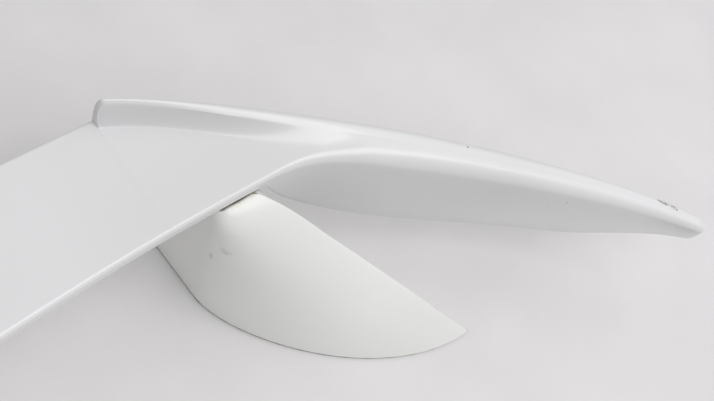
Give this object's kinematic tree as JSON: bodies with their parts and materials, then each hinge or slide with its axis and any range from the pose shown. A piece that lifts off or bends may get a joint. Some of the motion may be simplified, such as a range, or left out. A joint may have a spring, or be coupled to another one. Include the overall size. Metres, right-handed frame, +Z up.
{
  "type": "rear wing",
  "caption": "White rear wing for a boot lid: a straight blade with raised end fences that sweep forward as tapering horns, on two fin-shaped legs.",
  "frame": {"origin": "on the mounting face under the feet, at the middle of the whole wing's plan box", "axes": "+Z up from the mounting face, +X across the car towards its left side, -Y towards the front of the car"},
  "size_m": [1.4102, 0.3043, 0.1749],
  "materials": {
    "white_paint": "gloss white two-pack paint over fibreglass",
    "laminate": "gloss white two-pack paint over fibreglass, duller underside",
    "black_rubber": "matt black foam rubber",
    "zinc_steel": "zinc plated",
    "coated_steel": "satin black electrocoat",
    "core_foam": "matt closed-cell foam"
  },
  "bodies": {
    "root": {"upper_skin": "white_paint", "lower_skin": "laminate", "blade_core": "core_foam", "horn_core_left": "core_foam", "horn_core_right": "core_foam", "insert_plate_left": "zinc_steel", "insert_plate_right": "zinc_steel", "insert_nuts": "zinc_steel", "top_bolts": "zinc_steel", "top_washers": "zinc_steel", "top_seal_left": "black_rubber", "top_seal_right": "black_rubber", "leg_shell_left": "white_paint", "leg_shell_right": "white_paint", "leg_bracket_left": "coated_steel", "leg_bracket_right": "coated_steel", "bracket_screws": "zinc_steel", "base_plate_left": "coated_steel", "base_plate_right": "coated_steel", "anchor_nuts": "zinc_steel", "foot_gasket_left": "black_rubber", "foot_gasket_right": "black_rubber"}
  },
  "joints": []
}
